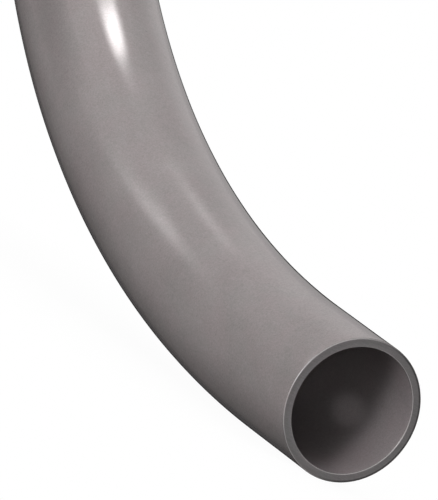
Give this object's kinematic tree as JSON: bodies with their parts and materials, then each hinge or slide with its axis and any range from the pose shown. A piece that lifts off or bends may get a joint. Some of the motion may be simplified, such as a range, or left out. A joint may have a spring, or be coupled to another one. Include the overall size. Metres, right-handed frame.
{
  "type": "conduit elbow",
  "caption": "Large-radius 90 degree sweep elbow of rigid grey plastic electrical conduit, with plain square-cut ends that take push-on couplings.",
  "frame": {"origin": "centre of the face of mouth A, on the pipe's axis", "axes": "+X leaves mouth A along its axis, +Z leaves mouth B along the riser's axis, and the bend lies in the XZ plane"},
  "size_m": [1.0381, 0.0888, 1.0381],
  "materials": {
    "grey_pvc": "satin, faintly mottled, with fine scuffs round the pipe"
  },
  "bodies": {
    "root": {"elbow_body": "grey_pvc"}
  },
  "joints": []
}
